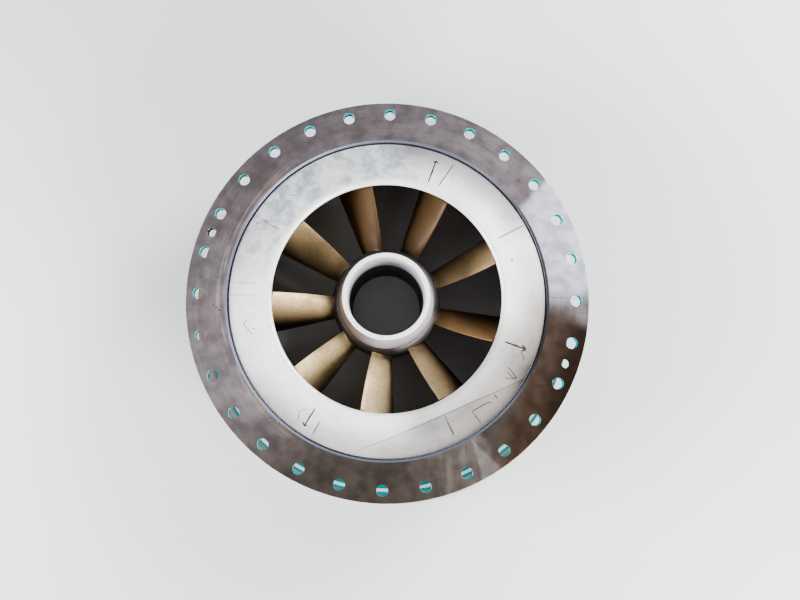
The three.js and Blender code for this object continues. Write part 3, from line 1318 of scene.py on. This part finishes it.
@dataclass
class Vanes:
    """The nine vanes, each lofted from the hub to the casing and flared into both."""

    hub: Hub
    passage: WaterPassage
    count: int = 9
    first_angle: float = 92.7
    lead: float = 2.8
    root: VaneEnd = VaneEnd(0.184, 58.0 * MM, 18.5)
    tip: VaneEnd = VaneEnd(0.281, 165.0 * MM, 15.5)
    base: float = 0.070
    thickness: float = 14.0 * MM
    edge: float = 3.5 * MM
    fillet: float = 5.0 * MM
    sink: float = 0.6 * MM
    span_steps: int = 22
    chord_steps: int = 36
    chord_crowding: float = 1.3
    nose_points: int = 5
    fillet_stations: tuple[float, ...] = (0.0, 0.004, 0.011, 0.022, 0.036, 0.055)
    fillet_start: float = 0.25
    fillet_growth: float = 8.0
    sharp: float = 60.0

    def point(self, edge_angle: float, across: float, depth: float, offset: float, flare: float) -> Vector:
        """Returns a point of a vane.

        Args:
            edge_angle: the angle of the upper edge at the hub, in radians.
            across: the share of the way from the hub to the casing.
            depth: how far below the upper edge it lies.
            offset: how far it lies from the middle surface, to either side.
            flare: how much the fillet adds to that.

        Returns:
            The point.
        """
        top, bend, turn = (lerp(first, second, across) for first, second in zip(self.root, self.tip))
        sweep = math.radians(turn)
        left = max(1.0 - depth / bend, 0.0)
        radius = lerp(self.hub.drum, self.passage.inner(top - depth), across)
        slope = math.atan(2 * radius * sweep * left / bend)
        away = offset + math.copysign(flare, offset)
        height = top - depth + away * math.sin(slope)
        drum = self.hub.radius(min(height, self.root.top))
        reach = lerp(drum - self.sink, self.passage.inner(height) + self.sink, across)
        turned_by = sweep * (1.0 - left * left) + away * math.cos(slope) / reach
        return polar(reach, edge_angle + math.radians(self.lead) * across + turned_by, height)

    def stations(self) -> list[float]:
        """Returns the shares across the vane, close together in the fillets.

        Returns:
            The shares, from the hub to the casing.
        """
        near = list(self.fillet_stations)
        shares = (step / self.span_steps for step in range(1, self.span_steps))
        middle = [lerp(near[-1], 1.0 - near[-1], share) for share in shares]
        return near + middle + [1.0 - share for share in reversed(near)]

    def section(self) -> list[Point]:
        """Returns the outline of a vane's section once round: the share down it and the side.

        Returns:
            The points: a share of 0 to 1 down the vane, and a side of -1 to 1.
        """
        steps = self.nose_points + 1
        nose = [(0.0, math.cos(math.pi * step / steps)) for step in range(1, steps)]
        down = [(step / self.chord_steps) ** self.chord_crowding for step in range(self.chord_steps + 1)]
        return nose + [(share, -1.0) for share in down] + [(share, 1.0) for share in reversed(down)]

    def loop(self, edge_angle: float, across: float) -> list[Vector]:
        """Returns the points once round a vane at a share across it.

        Args:
            edge_angle: the angle of the upper edge at the hub, in radians.
            across: the share of the way from the hub to the casing.

        Returns:
            The points, the first one not repeated.
        """
        span = self.passage.throat - self.hub.drum
        inside = max(self.fillet - min(across, 1.0 - across) * span, 0.0)
        flare = self.fillet - math.sqrt(self.fillet ** 2 - inside ** 2)
        length = lerp(self.root.top, self.tip.top, across) - self.base
        start = self.edge / 2
        points = []
        for share, side in self.section():
            half = lerp(self.edge, self.thickness, math.sin(math.pi * math.sqrt(share))) / 2
            if share > 0.0 or abs(side) == 1.0:
                depth = lerp(start, length, share)
            else:
                depth = start * (1.0 - math.sqrt(1.0 - side * side))
            grow = flare * min(1.0, share * self.fillet_growth + self.fillet_start) * abs(side)
            points.append(self.point(edge_angle, across, depth, half * side, grow))
        return points

    def make(self) -> None:
        """Builds all the vanes, each closed at its two ends."""
        nose = self.nose_points
        for index in range(self.count):
            edge_angle = math.radians(self.first_angle - index * 360.0 / self.count)
            loops = [self.loop(edge_angle, across) for across in self.stations()]
            mesh = bmesh.new()
            add_grid(mesh, [loop + loop[:1] for loop in loops])
            for points in (loops[0], loops[-1]):
                left = points[nose:nose + self.chord_steps + 1]
                right = points[:nose + self.chord_steps:-1]
                add_grid(mesh, [left, right])
                mesh.faces.new([mesh.verts.new(point) for point in (right[0], *points[:nose], left[0])])
            add_piece(f"vane_blade_{index + 1}", mesh, Slot.BRONZE, (VaneBronze,), f"vane_{index + 1}",
                      sharp=self.sharp, even=False)


class Stroke(NamedTuple):
    """A hand-drawn line, through points that are given in millimetres, with its width."""

    points: tuple[Point, ...]
    width: float


@dataclass
class Marks:
    """Layout lines, arrows and scratches, as thin strips that lie on the faces below them."""

    passage: WaterPassage
    lift: float = 0.08 * MM
    sink: float = 0.16 * MM
    step: float = 3.0 * MM
    sway: float = 0.25 * MM
    pressure: Point = (0.8, 1.15)
    thin_end: float = 0.7
    seed: int = 7
    ring_strokes: tuple[Stroke, ...] = (
        Stroke(((112, 281), (134, 336)), 3.8),
        Stroke(((127, 331), (134, 336), (138, 329)), 3.6),
        Stroke(((136, 269), (177, 326)), 2.6),
        Stroke(((278, 135), (340, 167)), 2.6),
        Stroke(((280, -117), (331, -136)), 4.4),
        Stroke(((322, -126), (331, -136), (319, -140)), 4.0),
        Stroke(((317, -142), (323, -151), (324, -162)), 2.0),
        Stroke(((286, -177), (306, -205)), 2.4),
        Stroke(((275, -202), (294, -205), (306, -201)), 1.9),
        Stroke(((282, -188), (303, -210)), 1.9),
        Stroke(((-178, -263), (-205, -302)), 3.9),
        Stroke(((-207, -293), (-205, -302), (-197, -300)), 3.6),
        Stroke(((-166, -292), (-185, -322)), 2.5),
        Stroke(((-218, -287), (-215, -266), (-198, -263)), 1.4),
        Stroke(((129, -284), (136, -302)), 1.6),
        Stroke(((136, -302), (150, -333)), 3.2),
        Stroke(((216, -308), (195, -279)), 2.0),
        Stroke(((195, -279), (233, -259), (242, -260)), 2.2),
        Stroke(((249, -240), (258, -252)), 2.2),
        Stroke(((-78, -364), (23, -327), (317, -209)), 0.9),
        Stroke(((-297, 203), (-286, 191), (-254, 174)), 1.9),
        Stroke(((-233, 262), (-213, 259)), 1.3),
        Stroke(((-339, -44), (-348, -55), (-324, -81)), 1.5),
        Stroke(((-364, 47), (-314, 44)), 1.3),
        Stroke(((-381, 18), (-315, 15)), 0.9),
        Stroke(((305, 78), (309, 82)), 4.5),
        Stroke(((-313, 194), (-309, 194)), 3.4),
        Stroke(((-324, -66), (-320, -66)), 3.2),
    )
    flange_strokes: tuple[Stroke, ...] = (
        Stroke(((-421, -6), (-418, -8)), 3.0),
        Stroke(((-414, -11), (-411, -13)), 3.0),
        Stroke(((-407, -18), (-403, -21)), 3.4),
        Stroke(((327, 232), (335, 220)), 1.2),
        Stroke(((332, 278), (336, 278)), 3.4),
        Stroke(((395, -13), (480, -19)), 0.9),
        Stroke(((462, -52), (480, -53)), 0.9),
    )

    def ring_height(self, radius: float) -> float:
        """Returns the height of the throat ring's coned face at a radius.

        Args:
            radius: the radius.

        Returns:
            The height.
        """
        outer = self.passage.ring_edge - self.passage.ring_edge_chamfer
        inner = self.passage.throat + self.passage.lip
        share = (radius - inner) / (outer - inner)
        return lerp(extent("throat_ring").top, self.passage.ring_edge_top, share)

    def draw(self, mesh: Mesh, stroke: Stroke, height: Callable[[float], float],
             shake: random.Random) -> None:
        """Adds one stroke as a thin closed strip.

        Args:
            mesh: the mesh that takes it.
            stroke: the line.
            height: gives the face's height at a radius.
            shake: the hand's unsteadiness.
        """
        corners = [Vector(point) * MM for point in stroke.points]
        for start, end in zip(corners, corners[1:]):
            run = end - start
            side = Vector((-run.y, run.x)).normalized()
            count = max(3, round(run.length / self.step))
            rows = []
            for index in range(count + 1):
                share = index / count
                taper = lerp(self.thin_end, 1.0, math.sin(math.pi * share))
                half = stroke.width * MM / 2 * taper * shake.uniform(*self.pressure)
                middle = start + run * share + side * shake.uniform(-self.sway, self.sway)
                row = []
                for sign, rise in ((-1, -self.sink), (-1, self.lift), (1, self.lift), (1, -self.sink)):
                    at = middle + side * half * sign
                    row.append(Vector((*at, height(at.length) + rise)))
                rows.append(row)
            add_tube(mesh, rows)

    def make(self) -> None:
        """Draws every stroke."""
        shake = random.Random(self.seed)
        flange_top = extent("bolting_flange").top
        for name, strokes, height, slot in (
            ("ring_layout_lines", self.ring_strokes, self.ring_height, Slot.BRIGHT),
            ("flange_layout_lines", self.flange_strokes, lambda radius: flange_top, Slot.FLANGE),
        ):
            mesh = bmesh.new()
            for stroke in strokes:
                self.draw(mesh, stroke, height, shake)
            add_piece(name, mesh, slot, (Graphite,), sharp=SOFT)


# Studio


@dataclass(frozen=True)
class SoftLight:
    """A large soft light that faces a point."""

    name: str
    place: Place
    aim: Place
    width: float
    depth: float
    power: float
    colour: Colour

    def make(self) -> None:
        """Hangs the light."""
        data = bpy.data.lights.new(self.name, "AREA")
        data.shape = "RECTANGLE"
        data.size = self.width
        data.size_y = self.depth
        data.energy = self.power
        data.color = self.colour
        lamp = put(self.name, data)
        lamp.location = self.place
        aim = Vector(self.aim) - Vector(self.place)
        lamp.rotation_euler = aim.to_track_quat("-Z", "Y").to_euler()


@dataclass
class Studio:
    """The camera, the floor, the lights and the room's own light."""

    camera_place: Place = (-0.0034, -0.1997, 1.9654)
    camera_turn: tuple[float, float, float] = (6.535, 1.098, -1.636)
    lens: float = 31.5
    sensor: float = 36.0
    shift: float = 0.0327
    floor_half: float = 60.0
    skyline: Colour = (0.60, 0.60, 0.61)
    horizon: Colour = (0.92, 0.94, 0.98)
    zenith: Colour = (0.28, 0.27, 0.27)
    low_fade: Point = (0.0, 0.3)
    high_fade: Point = (0.35, 0.97)
    room_strength: float = 0.7
    look: str = "AgX - Medium High Contrast"
    lights: tuple[SoftLight, ...] = (
        SoftLight("window_light", (2.3, 1.7, 1.9), (0.1, 0.1, 0.3), 1.4, 1.2, 170.0, (0.95, 0.97, 1.0)),
        SoftLight("side_light", (2.0, -2.3, 1.5), (0.0, 0.0, 0.3), 1.6, 1.3, 200.0, (1.0, 0.98, 0.95)),
        SoftLight("fill_light", (-2.9, -0.6, 1.6), (0.0, 0.0, 0.3), 1.8, 1.4, 210.0, (0.99, 0.98, 1.0)),
    )

    def make_camera(self) -> None:
        """Places the camera where the photograph was taken from."""
        data = bpy.data.cameras.new("camera")
        data.lens = self.lens
        data.sensor_width = self.sensor
        data.shift_x = self.shift
        camera = put("camera", data)
        camera.location = self.camera_place
        camera.rotation_euler = Euler([math.radians(turn) for turn in self.camera_turn])
        bpy.context.scene.camera = camera

    def make_floor(self) -> None:
        """Lays the floor."""
        ends = (-self.floor_half, self.floor_half)
        mesh = bmesh.new()
        add_grid(mesh, [[Vector((x, y, 0.0)) for x in ends] for y in ends])
        floor = to_object("studio_floor", mesh, (StudioFloor,))

    def make_room(self) -> None:
        """Gives the room a soft light that is pale all round, dimmer overhead and at the floor's end."""
        world = bpy.data.worlds.new("studio_room")
        world.use_nodes = True
        bpy.context.scene.world = world
        nodes = Nodes(world.node_tree)
        split = nodes.add("ShaderNodeSeparateXYZ")
        nodes.link(nodes.add("ShaderNodeTexCoord").outputs["Generated"], split.inputs[0])
        height = split.outputs["Z"]
        low = nodes.mix(nodes.ramp(height, *self.low_fade), self.skyline, self.horizon)
        whole = nodes.mix(nodes.ramp(height, *self.high_fade), low, self.zenith)
        background = world.node_tree.nodes["Background"]
        nodes.link(whole, background.inputs["Color"])
        nodes.link(self.room_strength, background.inputs["Strength"])

    def make(self) -> None:
        """Sets up the whole studio."""
        self.make_camera()
        self.make_floor()
        self.make_room()
        bpy.context.scene.view_settings.look = self.look
        for light in self.lights:
            light.make()


def main() -> None:
    """Builds the studio and every sub-assembly in order."""
    logging.basicConfig(level=logging.INFO, format="%(message)s")
    Studio().make()
    flange = BoltingFlange()
    passage = WaterPassage()
    hub = Hub()
    flange.make()
    passage.make_ring()
    passage.make_casing()
    passage.make_foot()
    Ribs(flange, passage).make()
    hub.make_collar()
    hub.make_drum()
    hub.make_base()
    Vanes(hub, passage).make()
    Marks(passage).make()


if __name__ == "__main__":
    main()
